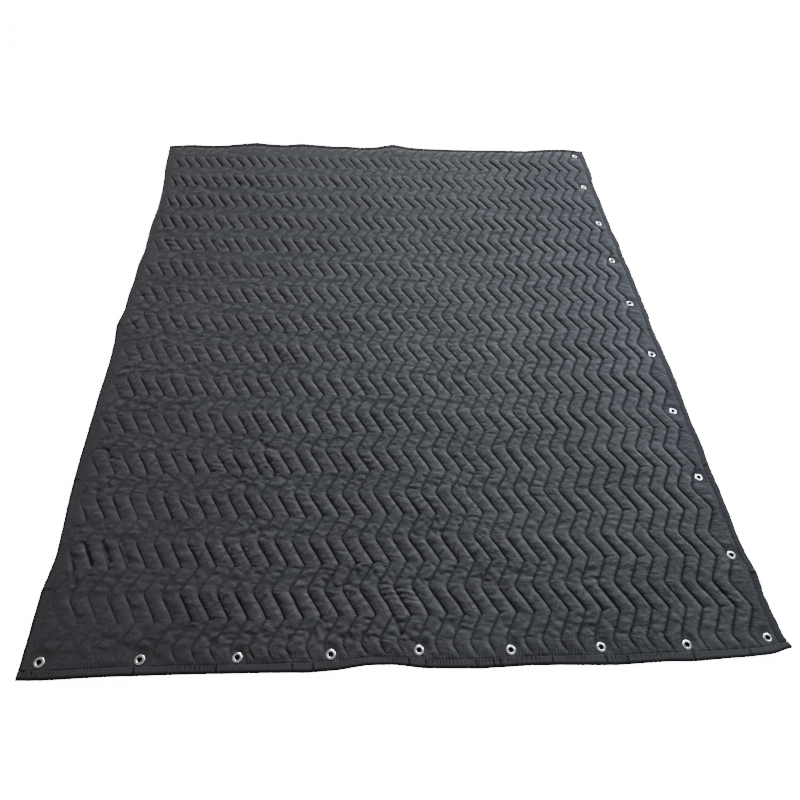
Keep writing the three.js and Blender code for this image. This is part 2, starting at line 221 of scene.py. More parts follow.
# creases in the cloth: from, to, depth (a ridge when negative), half width
creases = [
    # front left
    (-938, -850, -902, -915, 3.6, 6), (-884, -848, -850, -910, 3.6, 6), (-972, -882, -928, -968, 1.6, 6),
    (-928, -968, -930, -1020, 1.1, 5), (-1002, -980, -982, -990, 2.0, 6), (-985, -1090, -983, -1130, 1.8, 6),
    (-830, -846, -797, -915, 2.0, 6),
    # front middle
    (-62, -1084, -45, -1132, 3.8, 5), (-36, -1127, -11, -1157, 3.2, 5), (-263, -1080, -246, -1104, 2.8, 4.5),
    (-94, -1012, -48, -1006, 1.8, 4), (-92, -1026, -44, -1022, 1.6, 4), (-86, -1040, -40, -1038, 1.5, 4),
    (-46, -1006, -4, -1012, 1.8, 4), (-40, -1022, 0, -1030, 1.8, 4), (-36, -1036, 4, -1046, 1.5, 4),
    (-263, -944, -228, -950, 1.8, 4), (-258, -958, -226, -964, 1.6, 4), (92, -924, 128, -932, 1.5, 4),
    (110, -944, 146, -956, 1.5, 4),
    # front right
    (703, -815, 734, -872, 1.8, 5), (736, -843, 766, -917, 1.6, 5), (750, -1020, 758, -1056, 2.2, 5),
    (706, -1020, 721, -1056, 1.6, 5), (978, -988, 999, -1019, 1.5, 5), (970, -1018, 1006, -993, 1.3, 5),
    (971, -1004, 1006, -1005, 1.1, 4), (884, -1034, 927, -1059, 1.6, 5), (925, -954, 953, -949, 1.4, 4.5),
    (984, -787, 988, -828, 1.4, 5),
    # left middle
    (-968, -529, -936, -532, 2.4, 5), (-936, -532, -921, -561, 2.2, 5), (-921, -561, -891, -569, 2.2, 5),
    (-972, -420, -934, -432, 1.8, 5), (-463, -503, -447, -532, 2.6, 5), (-448, -521, -407, -545, 2.6, 5),
    (-467, -594, -425, -583, 2.0, 5), (-443, -606, -412, -635, 2.8, 5), (-455, -628, -435, -651, 2.2, 5),
    (-440, -560, -410, -572, -1.6, 8), (-610, -588, -576, -588, 1.8, 4), (-608, -605, -571, -605, 1.8, 4),
    (-603, -619, -573, -618, 1.6, 4), (-745, -621, -720, -643, 2.0, 5), (-717, -559, -670, -583, 1.6, 5),
    (-682, -713, -640, -733, 1.8, 5), (-769, -673, -731, -691, 1.6, 5), (-1007, 171, -929, 168, 2.6, 6),
    (-1012, 26, -961, 41, -2.6, 14), (-990, 4, -950, 24, 1.6, 7), (-830, 191, -792, 186, 1.8, 6),
    (-424, -19, -397, -49, 3.0, 6), (-595, 205, -562, 138, 2.0, 6),
    # back left
    (-864, 899, -780, 848, 3.0, 8), (-780, 848, -739, 902, 2.2, 8), (-850, 870, -795, 825, -1.8, 12),
    (-673, 904, -617, 882, 2.4, 8), (-617, 882, -524, 830, 2.6, 8), (-524, 830, -449, 850, 1.8, 8),
    (-934, 496, -892, 490, 2.8, 6), (-923, 470, -876, 459, 2.6, 6), (-463, 1118, -389, 1022, 2.2, 7),
    (-199, 1098, -149, 1026, 3.0, 8), (-596, 513, -553, 435, 2.6, 8), (-732, 492, -689, 442, 2.8, 9),
]


def legOf(t):
    # how many legs of the zigzag lie in front of a row; the even ones run right towards the back
    return (t - quilt["firstTurn"]) / quilt["turn"]


def swingAt(t, channel):
    # triangle wave, the arcsine of a sine drawn in a little, rounder at its left turns;
    # each line drifts its own way
    late = 3.2 * softNoise(channel * 0.9 + 3, t / 70) + 1.6 * softNoise(channel * 1.7, t / 33 + 50)
    wave = np.sin(np.pi * legOf(t + late) - np.pi / 2)
    draw = 0.972 + 0.018 * wave
    drift = 1.5 * softNoise(channel * 1.3 + 70, t / 48) + 0.8 * softNoise(channel * 2.1, t / 21 + 90)
    return quilt["swing"] * np.arcsin(draw * wave) / np.arcsin(draw) + drift


def legPart(t):
    # share of the way along a leg, and whether that leg runs right towards the back
    leg = legOf(t)
    return leg - np.floor(leg), np.floor(leg) % 2 == 0


def risingLeg(t):
    # half a sine along a leg that runs right towards the back, 0 on the other legs
    f, rising = legPart(t)
    return np.where(rising, np.sin(np.pi * f), 0)


def risingSpan(t):
    # 1 along such a leg, easing to 0 over the last fifth at both its ends
    f, rising = legPart(t)
    return np.where(rising, easeStep(0, 0.2, f) * easeStep(1, 0.8, f), 0)


def slackLoss(s, t):
    # what a pad on such a leg lacks, towards the left
    return quilt["slack"] * easeStep(150, -750, s + 160 * softNoise(s / 260 + 8, t / 300)) * risingLeg(t)


def padShare(s, t):
    # how full a pad is: 1 with slow noise, less at the left, along its tape, in flat areas and by slack
    share = 1 + 0.10 * softNoise(s / 120, t / 150) + 0.05 * softNoise(s / 40, t / 55 + 60)
    share = share - 0.22 * zone(s, t, (-300, -800), (700, 0))
    share = share - (0.18 + 0.25 * softNoise(t / 110 + 15, 0.3)) * zone(s, t, (-900, -985))
    for s0, t0, reach, loss in flatPads:
        share = share - loss * spot(s, t, s0, t0, reach)
    return np.clip(share * (1 - slackLoss(s, t)), 0.12, None)


def creaseDepth(s, t):
    # each crease is a bell-shaped trough round a segment, tapering off past both its ends
    left, back = bowOf(s, t)
    s, t = s - left, t + back
    z = np.zeros_like(s)
    for s0, t0, s1, t1, deep, wide in creases:
        ds, dt = s1 - s0, t1 - t0
        f = np.clip(((s - s0) * ds + (t - t0) * dt) / (ds * ds + dt * dt), 0, 1)
        z += deep * spot(s, t, s0 + f * ds, t0 + f * dt, wide)
    return z


wrinkles = {
    "tuck": 2.0, "tuckWidth": 3.4,    # tucks out of the right turns: depth and half width
    "pucker": (0.12, 0.5, 0.5),    # puckers: depth, more in patches, and more again at the left
    "puckerPitch": 7.6, "puckerValley": 0.34,
    "folds": 4, "fold": 5.0,    # short folds a pad and their depth
    "foldWidth": (3.3, 1.7),    # half width, and what the back adds
    "foldShare": (0.42, 0.68),    # share on every leg, and more on the rising ones
    "slant": (0.25, 0.85), "slantValley": 0.16,    # slanting wrinkles: depth, more in patches
    "deepest": 4.0,    # where dents meet they make no pit
    "level": (0.08, 0.30, 0.25, -0.12),    # mm that raise the folded legs: all, back, back right, back left
}
# for each fold: place, slant, length, depth, side
foldTable = np.random.default_rng(41).random((quilt["lines"] + 1, 36, wrinkles["folds"], 5))


def padFolds(u, leg, line, wide):
    # short folds on a pad: bell-shaped troughs that leave a stitch line about square to it
    # and fade out across the pad
    i = np.clip(line + 1, 0, quilt["lines"]).astype(int)
    j = np.clip(np.floor(leg) + 2, 0, foldTable.shape[1] - 1).astype(int)
    f = leg - np.floor(leg)
    falls = np.where(np.floor(leg) % 2 == 0, 1, -1)    # which way a line square to the stitches runs
    z = 0.0
    for k in range(wrinkles["folds"]):
        place, slant, length, depth, side = np.moveaxis(foldTable[i, j, k], -1, 0)
        fromSide = np.where(side < 0.5, u, 1 - u)
        run = 6 + 50 * slant ** 1.5    # mm towards the next turn for one channel across
        gap = (f - 0.12 - 0.76 * place) * quilt["turn"] + np.where(side < 0.5, u, u - 1) * falls * run
        trough = hump(gap, 0, wide * np.hypot(1, run / quilt["pitch"]))
        reach = 0.45 + 0.55 * length
        fade = easeStep(0, 0.2, fromSide) * (1 - easeStep(0.5 * reach, reach, fromSide))
        z = np.maximum(z, (0.25 + 0.75 * depth) * trough * fade)
    return z * easeStep(0, 0.05, np.minimum(u, 1 - u)) * easeStep(0, 0.1, f) * easeStep(1, 0.9, f)


def quiltColumns():
    # s = base + follow * swing; channel is the stitch line count, whole numbers on the stitches
    inner = halfWidth - quilt["clothEdge"]
    last = quilt["first"] + (quilt["lines"] - 1) * quilt["pitch"]
    left, right = np.array(quilt["leftColumns"]), np.array(quilt["rightColumns"])
    steps = (np.arange(quilt["lines"] - 1)[:, None] + np.array(quilt["columns"])[None, :]).ravel()
    base = [-inner * (1 - left) + quilt["first"] * left, quilt["first"] + steps * quilt["pitch"],
            last * (1 - right) + inner * right]
    follow = [left, np.ones_like(steps), 1 - right]
    channel = [left - 1, steps, quilt["lines"] - 1 + right]
    return np.concatenate(base), np.concatenate(follow), np.concatenate(channel)


def quiltRows():
    # rows between the turns of the zigzag at w - 0.045 sin(2 pi w) of a leg, closer together near the camera
    edge = halfLength - quilt["clothEdge"]
    rows = [np.linspace(-edge, quilt["firstTurn"], 18)[:-1]]
    starts = [len(rows[0])]
    for low, high, count in zip(quilt["bands"][:-1], quilt["bands"][1:], quilt["legRows"]):
        w = np.arange(count) / count
        steps = np.arange(low, high)[:, None] + (w - 0.045 * np.sin(2 * np.pi * w))[None, :]
        rows.append(quilt["firstTurn"] + steps.ravel() * quilt["turn"])
        starts.append(starts[-1] + steps.size)
    rows.append(np.linspace(quilt["firstTurn"] + quilt["bands"][-1] * quilt["turn"], edge, 8))
    return np.concatenate(rows), starts


def quiltHeight(s, t, channel):
    # pad between stitch lines: (1 - |2u - 1|^p)^q of the pad height, less tucks, puckers, folds and
    # wrinkles, plus small noise, less creases; at the tape it falls to the bound edge along 1 - exp(-d^1.3)
    w = wrinkles
    line = np.floor(channel)
    u = channel - line
    side = np.minimum(u, 1 - u)
    share, span = padShare(s, t), risingSpan(t)
    jitter = 1 + 0.16 * softNoise(line * 7.31 + 0.5, t / 58) + 0.08 * softNoise(line * 5.17 + 9, t / 24)
    lean = u + 0.03 * np.sin(2 * np.pi * u) * softNoise(line * 2.3 + 40, t / 80)
    p, q = quilt["dome"]
    full = quilt["crownZ"] - quilt["stitchZ"]
    z = quilt["stitchZ"] + full * share * jitter * np.clip(1 - np.abs(2 * lean - 1) ** p, 0, 1) ** q
    flat, slack = quilt["slackRise"]
    z = z + (1 - share) * flat + slack * slackLoss(s, t)    # slack pads are drawn down less
    # a short tuck running to the right out of each right turn of the stitching
    leg = legOf(t)
    turn = np.round(leg)
    near = (leg - turn) * quilt["turn"] + 30 * u * softNoise(line * 2.9 + 5, turn * 3.1)
    strength = np.clip(0.35 + 0.9 * softNoise(line * 3.7 + 11, turn * 5.3), 0, 1)
    strength = np.where(turn % 2 == 1, strength, 0.1) * (1 - 0.6 * zone(s, t, (-200, -700)))
    dent = w["tuck"] * strength * hump(near, 0, w["tuckWidth"])
    dent = dent * (1 - easeStep(0.2, 0.68, u)) * easeStep(0, 0.05, u)
    # puckers across the channel, valleys where a stretched noise crosses zero, in patches
    patch = softNoise(s / 66 + 17, t / 52) + 0.35 * hump(s, -150, 600) * hump(t, -950, 400)
    some, more, atLeft = w["pucker"]
    deep = some + (more + atLeft * zone(s, t, (500, 0))) * easeStep(0.0, 0.65, patch)
    slant = 3.2 * softNoise(s / 90 + 61, t / 75)
    wave = softNoise(t / w["puckerPitch"] + 13 * line + slant * u, u * 1.7 + 3 * line)
    valley = np.clip(1 - np.abs(wave) / w["puckerValley"], 0, 1)
    dent = dent + deep * valley * easeStep(0, 0.08, side) * np.clip(1.3 * share - 0.3, 0.12, 1)
    # short folds; the front left corner, the right and the back left lie smoother
    some, more = w["foldShare"]
    weight = (some + more * span) * (0.72 + 0.38 * easeStep(-0.4, 0.5, softNoise(s / 170 + 33, t / 140 + 71)))
    calm = zone(s, t, (200, -300), (-50, 450))
    weight = weight * (1 - 0.75 * spot(s, t, -900, -1130, 330))
    weight = weight * (1 - 0.4 * zone(s, t, (250, 650))) * (1 - 0.6 * calm)
    wide = w["foldWidth"][0] + w["foldWidth"][1] * zone(s, t, None, (-700, 400))
    dent = dent + w["fold"] * weight * padFolds(u, leg, line, wide) * np.clip(share, 0.6, 1)
    z = z + (0.9 + 1.1 * weight) * softNoise(s / 31, t / 19) * easeStep(0, 0.2, side)
    # slanting wrinkles, narrow valleys along the zero lines of a broad noise that changes from pad to pad
    broad = softNoise(s / 44 + 7.7 * line, t / 34 + s / 90 + 2.3 * line)
    some, more = w["slant"]
    deep = some + more * easeStep(-0.1, 0.6, softNoise(s / 150 + 90, t / 130 + 12))
    dent = dent + deep * np.clip(1 - np.abs(broad) / w["slantValley"], 0, 1) ** 1.5 * easeStep(0, 0.15, side)
    z = z - w["deepest"] * np.tanh(dent / w["deepest"])
    # the folded legs stand as high as the others
    always, back, backRight, backLeft = w["level"]
    level = always + back * zone(s, t, None, (-900, 300)) + backRight * zone(s, t, (300, 800), (200, 700))
    z = z + (level + backLeft * calm) * span
    z = z + (0.35 + 0.8 * weight) * softNoise(s / 13 + 31, t / 10 + 7) * easeStep(0, 0.15, side)
    z = z - creaseDepth(s, t)
    inset = insetOf(s, t) - quilt["tape"]
    slope = 19 + 10 * zone(s, t, None, (-1060, -1150))    # longer along the front
    rise = 1 - np.exp(-(np.clip(inset - 0.5, 0, None) / slope) ** 1.3)
    lip = 1.4 * easeStep(0, 4, inset)    # the cloth swells beside the tape
    return quilt["edgeZ"] + lip * (1 - rise) + (z - quilt["edgeZ"]) * rise


def openEyelets(x, y, z):
    # cloth round each eyelet: the nearest grid point moves to its centre, the grid is pushed out from there,
    # r' = opening + r * (1 - opening / spread), and the height eases down to the seat under the flange
    opening, spread = eyelets["opening"], eyelets["spread"]
    cut = np.ones((x.shape[0] - 1, x.shape[1] - 1), bool)
    for cx, cy in eyeletXY:
        i, j = np.unravel_index(np.argmin((x - cx) ** 2 + (y - cy) ** 2), x.shape)
        moveX, moveY = cx - x[i, j], cy - y[i, j]
        weight = spot(x, y, cx, cy, eyelets["pull"])
        x += moveX * weight
        y += moveY * weight
        r = np.maximum(np.hypot(x - cx, y - cy), 1e-6)
        pushed = np.maximum(opening + r * (1 - opening / spread), eyelets["least"])
        grow = np.where(r < spread, pushed / r, 1.0)
        x[:] = np.where(r < 1e-3, x, cx + (x - cx) * grow)
        y[:] = np.where(r < 1e-3, y, cy + (y - cy) * grow)
        r = np.hypot(x - cx, y - cy)
        z[:] = z + (eyelets["under"] - 0.5 - z) * (1 - easeStep(*eyelets["seat"], r) ** 0.8)
        cut[i - 1:i + 1, j - 1:j + 1] = False
    return cut


def gridNormals(points):
    # cross product of the row and column differences
    n = np.cross(np.gradient(points, axis=1), np.gradient(points, axis=0))
    return n / np.maximum(np.linalg.norm(n, axis=2, keepdims=True), 1e-12)


def hollowShade(z, reach, low, high):
    # how far a point lies below the mean of its neighbours within reach cells, from 0 at low to 1 at high
    padded = np.pad(z, reach, mode="edge")
    total = np.cumsum(np.cumsum(np.pad(padded, ((1, 0), (1, 0))), axis=0), axis=1)
    size = 2 * reach + 1
    near = total[size:, size:] - total[:-size, size:] - total[size:, :-size] + total[:-size, :-size]
    return np.clip((near / size ** 2 - z - low) / (high - low), 0, 1)


def crestHeight(z, reach):
    # how far a point lies above the mean of its column within reach rows
    total = np.cumsum(np.pad(z, ((reach + 1, reach), (0, 0)), mode="edge"), axis=0)
    size = 2 * reach + 1
    return z - (total[size:] - total[:-size]) / size


def gridCells(rows, cols):
    # corner indices of each cell, counter-clockwise from above
    a = (np.arange(rows - 1)[:, None] * cols + np.arange(cols - 1)[None, :])
    return np.stack([a, a + 1, a + cols + 1, a + cols], axis=2)


def addObject(name, data):
    # a new object in the scene
    thing = bpy.data.objects.new(name, data)
    bpy.context.scene.collection.objects.link(thing)
    return thing


def makePiece(name, verts, faces, material, normals=None, uv=None, **values):
    # a smooth mesh with its map and attributes, riding on the one body
    mesh = bpy.data.meshes.new(name)
    mesh.from_pydata(verts, [], faces)
    mesh.validate(clean_customdata=False)
    mesh.polygons.foreach_set("use_smooth", np.ones(len(mesh.polygons), bool))
    if uv is not None:
        layer = mesh.uv_layers.new(name="quiltMap")
        corner = np.empty(len(mesh.loops), np.int32)
        mesh.loops.foreach_get("vertex_index", corner)
        layer.data.foreach_set("uv", np.asarray(uv, np.float32)[corner].ravel())
    for key, value in values.items():
        mesh.attributes.new(key, "FLOAT", "POINT").data.foreach_set("value", np.asarray(value, np.float32))
    if normals is not None:
        mesh.normals_split_custom_set_from_vertices(normals)
    mesh.materials.append(material)
    piece = addObject(name, mesh)
    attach(piece, "root")
    return piece


def slabPiece(name, top, under, normals, uv, values, cut, material):
    # two like grids, top and underside, joined by walls wherever a kept cell borders an open one
    rows, cols = top.shape[:2]
    cells = gridCells(rows, cols)
    upper = cells[cut]
    lower = (cells[cut] + rows * cols)[:, ::-1]
    padded = np.pad(cut, 1)
    walls = []
    for di, dj, a, b in ((-1, 0, 0, 1), (0, 1, 1, 2), (1, 0, 2, 3), (0, -1, 3, 0)):
        border = cut & ~padded[1 + di:rows + di, 1 + dj:cols + dj]
        p, q = cells[border][:, a], cells[border][:, b]
        walls.append(np.stack([p, p + rows * cols, q + rows * cols, q], axis=1))
    faces = np.concatenate([upper, lower] + walls)
    verts = np.concatenate([top.reshape(-1, 3), under.reshape(-1, 3)])
    used = np.zeros(len(verts), bool)
    used[faces.ravel()] = True
    index = np.cumsum(used) - 1
    downs = np.tile((0.0, 0.0, -1.0), (rows * cols, 1))
    allNormals = np.concatenate([normals.reshape(-1, 3), downs])
    allUv = np.concatenate([uv.reshape(-1, 2)] * 2)
    return makePiece(name, verts[used], index[faces].tolist(), material, allNormals[used], allUv[used],
                     **{key: np.tile(value.ravel(), 2)[used] for key, value in values.items()})


def panelPiece(name, top, underZ, rowPick, colPick, normals, uv, values, material):
    # fine grid on top, every picked row and column on the underside, and wall faces between the two rims
    rows, cols = top.shape[:2]
    picked = np.ix_(rowPick, colPick)
    under = top[picked].copy()
    under[..., 2] = underZ[picked]
    nr, nc = under.shape[:2]
    first = rows * cols
    faces = gridCells(rows, cols).reshape(-1, 4).tolist()
    faces += (gridCells(nr, nc).reshape(-1, 4) + first)[:, ::-1].tolist()
    low = first + np.arange(nr * nc).reshape(nr, nc)
    high = np.arange(rows * cols).reshape(rows, cols)

    def rim(lows, highs, picks):
        # one wall face for each edge of the underside, with all the top points above it
        spans = zip(lows[:-1], lows[1:], picks[:-1], picks[1:])
        return [[int(a), int(b)] + highs[p:q + 1][::-1].tolist() for a, b, p, q in spans]

    faces += rim(low[0], high[0], colPick)
    faces += rim(low[:, -1], high[:, -1], rowPick)
    faces += [f[::-1] for f in rim(low[-1], high[-1], colPick)]
    faces += [f[::-1] for f in rim(low[:, 0], high[:, 0], rowPick)]
    verts = np.concatenate([top.reshape(-1, 3), under.reshape(-1, 3)])
    allNormals = np.concatenate([normals.reshape(-1, 3), np.tile((0.0, 0.0, -1.0), (nr * nc, 1))])
    allUv = np.concatenate([uv.reshape(-1, 2), uv[picked].reshape(-1, 2)])
    both = {key: np.concatenate([value.ravel(), value[picked].ravel()]) for key, value in values.items()}
    return makePiece(name, verts, faces, material, allNormals, allUv, **both)


# materials
def nodeKit(name):
    # a new material, its shader, and helpers that add and link nodes
    material = bpy.data.materials.new(name)
    material.use_nodes = True
    tree = material.node_tree
    link = tree.links.new

    def add(kind, vector=None, **values):
        node = tree.nodes.new("ShaderNode" + kind)
        for key, value in values.items():
            if key in node.inputs:
                node.inputs[key].default_value = value
            else:
                setattr(node, key, value)
        if vector is not None:
            link(vector, node.inputs["Vector"])
        return node

    def calc(operation, *values):
        # one sum; a value is a number or a socket
        node = add("Math", operation=operation)
        for socket, value in zip(node.inputs, values):
            if isinstance(value, (int, float)):
                socket.default_value = value
            else:
                link(value, socket)
        return node.outputs[0]

    def ranged(value, source, target, **settings):
        # a straight line from the source's ends to the target's, held at both
        node = add("MapRange", **settings)
        for key, number in zip(("From Min", "From Max", "To Min", "To Max"), (*source, *target)):
            node.inputs[key].default_value = number
        link(value, node.inputs["Value"])
        return node.outputs["Result"]

    def ramp(value, ends, colours):
        # colours blended between two places
        node = add("ValToRGB")
        for element, place, colour in zip(node.color_ramp.elements, ends, colours):
            element.position, element.color = place, colour
        link(value, node.inputs["Fac"])
        return node.outputs["Color"]

    def shaded(colour, share, dark):
        # the colour multiplied by the dark one, as far as the share says, on the shader's base
        node = add("MixRGB", blend_type="MULTIPLY", Color2=dark)
        link(share, node.inputs["Fac"])
        link(colour, node.inputs["Color1"])
        link(node.outputs["Color"], shader.inputs["Base Color"])

    def attribute(key):
        return add("Attribute", attribute_name=key).outputs["Fac"]

    def constants(**values):
        for key, value in values.items():
            shader.inputs[key].default_value = value

    shader = tree.nodes["Principled BSDF"]
    return SimpleNamespace(material=material, shader=shader, add=add, link=link, calc=calc, ranged=ranged,
                           ramp=ramp, shaded=shaded, attribute=attribute, constants=constants)


clothLook = {
    "dark": (0.0243, 0.0244, 0.0254, 1), "light": (0.0371, 0.0372, 0.0388, 1), "toneEnds": (0.31, 0.69),
    "slow": {"Scale": 3.2, "Detail": 5.0, "Roughness": 0.62}, "slowShare": 0.42,    # cloudy tone
    "fleck": {"Scale": 420.0, "Detail": 2.0, "Roughness": 0.6}, "fleckShare": 0.28,    # grain
    "crushed": {"Scale": 170.0, "Detail": 3.0, "Roughness": 0.62},    # crushed nap, about 6 mm across
    "crushedRange": (0.33, 0.67), "nap": 0.30,    # and how strongly it shows
    "roughness": 0.86, "roughSpread": 0.07, "sheen": 0.04, "sheenRoughness": 0.40, "specular": 0.06,
    "grooveShade": 0.47, "grooveRange": (0.435, 0.49),    # painted shade at the stitches: how much darker the cloth is there, and where
    "crease": 0.45,    # share darker where the fold tone is full, painted shade in hollows and creases among it
    "threadPitch": 1.6, "yarnBump": {"Strength": 0.35, "Distance": 0.00025},    # mm between yarns
    "gatherPitch": 9.0, "gatherRange": (0.72, 0.98), "gather": 0.72,    # painted shade of gathers along the front tape
    "pucker": {"Scale": 1.0, "Detail": 5.0, "Roughness": 0.66, "Distortion": 0.5},
    "puckerMap": {"Scale": (2.2, 3.9, 1.0), "Rotation": (0.0, 0.0, 0.45)},    # shorter along the channel
    "puckerPatch": {"Scale": 5.5, "Detail": 1.0}, "patchRange": (0.38, 0.66), "patchShare": (0.25, 1.0),
    "puckerBeside": (1.3, 0.35),    # more beside the stitches, and on the crown
    "puckerBump": {"Strength": 0.85, "Distance": 0.0084},
}
# in the tape the crease share scales painted shade in pleats, drawn-in folds and on the outer fold, and each
# tape's darkness by side
tapeLook = dict(clothLook, dark=(0.0225, 0.0226, 0.0236, 1), light=(0.0330, 0.0331, 0.0346, 1),
                threadPitch=1.1, crease=0.85)


def waveScale(pitch):
    # a wave texture makes scale * 20 / 2 pi bands a metre
    return 6.2832 / (pitch * mm) / 20


def clothMaterial(name, look, quilted):
    # woven cloth: tone noise of three sizes, yarn bump from two crossed waves, painted shade from the fold
    # tone; quilted cloth also has painted shade at the stitch lines and at gathers by the front tape, painted
    # highlight on shoulders, and small puckers, from its map and attributes
    kit = nodeKit(name)
    add, link, calc, shader = kit.add, kit.link, kit.calc, kit.shader
    here = add("TexCoord").outputs["Object"]
    noise = lambda key, at: add("TexNoise", at, **look[key]).outputs["Fac"]
    bands = lambda way, pitch, **more: add("TexWave", here, wave_type="BANDS", bands_direction=way,
                                           Scale=waveScale(look[pitch]), **more).outputs["Fac"]
    slow, fleck, crushed = (noise(key, here) for key in ("slow", "fleck", "crushed"))
    tone = calc("ADD", calc("MULTIPLY", slow, look["slowShare"]), calc("MULTIPLY", fleck, look["fleckShare"]))
    tone = calc("ADD", tone, kit.ranged(crushed, look["crushedRange"], (0.0, look["nap"])))
    colour = kit.ramp(tone, look["toneEnds"], (look["dark"], look["light"]))
    dim = calc("MULTIPLY", kit.attribute("fold"), look["crease"])
    if quilted:
        # painted shade along the stitch lines, where the cloth is drawn down into grooves
        quiltMap = add("UVMap", uv_map="quiltMap").outputs["UV"]
        across = calc("FRACT", add("SeparateXYZ", quiltMap).outputs["X"])
        offCrown = calc("ABSOLUTE", calc("SUBTRACT", across, 0.5))
        grooveShade = kit.ranged(offCrown, look["grooveRange"], (0.0, look["grooveShade"]),
                            interpolation_type="SMOOTHSTEP")
        tight = kit.attribute("drawn")
        dim = calc("MAXIMUM", dim, calc("MULTIPLY", grooveShade, tight))
        # painted shade of short folds where the cloth is gathered into the front tape
        gather = bands("X", "gatherPitch", Distortion=2.5, Detail=2.0, **{"Detail Scale": 0.6})
        narrow = kit.ranged(gather, look["gatherRange"], (0.0, look["gather"]))
        dim = calc("MAXIMUM", dim, calc("MULTIPLY", narrow, kit.attribute("seam")))
        # painted highlight on shoulders and crests
        lighten = add("VectorMath", operation="SCALE")
        link(colour, lighten.inputs[0])
        link(calc("ADD", kit.attribute("rim"), 1.0), lighten.inputs["Scale"])
        colour = lighten.outputs["Vector"]
    kit.shaded(colour, dim, (0.0, 0.0, 0.0, 1))
    rough, spread = look["roughness"], look["roughSpread"]
    link(kit.ranged(fleck, (0.0, 1.0), (rough - spread, rough + spread)), shader.inputs["Roughness"])
    kit.constants(**{"Sheen Weight": look["sheen"], "Sheen Roughness": look["sheenRoughness"],
                     "Specular IOR Level": look["specular"]})
    warp, weft = (bands(way, "threadPitch", Distortion=0.6) for way in "XY")
    yarnBump = add("Bump", **look["yarnBump"])
    link(calc("MAXIMUM", warp, weft), yarnBump.inputs["Height"])
    if quilted:
        stretch = add("Mapping", quiltMap, **look["puckerMap"]).outputs["Vector"]
        pucker, patch = noise("pucker", stretch), noise("puckerPatch", here)
        height = calc("MULTIPLY", pucker, calc("MULTIPLY_ADD", offCrown, *look["puckerBeside"]))
        height = calc("MULTIPLY", height, kit.ranged(patch, look["patchRange"], look["patchShare"]))
        puckerBump = add("Bump", **look["puckerBump"])
        link(calc("MULTIPLY", height, tight), puckerBump.inputs["Height"])
        link(puckerBump.outputs["Normal"], yarnBump.inputs["Normal"])
    link(yarnBump.outputs["Normal"], shader.inputs["Normal"])
    return kit.material


quiltCloth = clothMaterial("quiltCloth", clothLook, True)
bindingCloth = clothMaterial("bindingCloth", tapeLook, False)

# tone of the quilted cloth, painted shade and painted highlight among it, each a share of its colour
clothTone = {
    "hollow": (0.6, 2, 0.3, 2.4),    # painted shade in hollows: share, cells round a point, mm from and to
    "frontTape": 0.40, "rightBand": 0.62,    # darker beside the front tape, and on the plain right band
    "frontCorner": 0.22, "backBelt": 0.18,    # darker at the front left corner, and across the back
    "risingLine": 0.60, "risingWidth": 6.5,    # painted shade beside the stitches of the rising legs
    "fallingWidth": 8.0,    # and of the other legs
    "nearRim": (0.26, 7.0, 4.5),    # painted highlight right of a line: share, mm from it, half width
    "litRim": 0.44, "litPlace": 10.0, "litWidth": 6.0,    # and left of it, on the side that faces the light
    "crestReach": 3, "crestFull": 0.8,    # painted highlight on the crests of wrinkles, painted shade between them
    "crestLight": 0.50, "crestDark": 0.60,
    "seam": (0.55, 0.95),    # painted shade of gathers beside the front tape, and how uneven it is
}


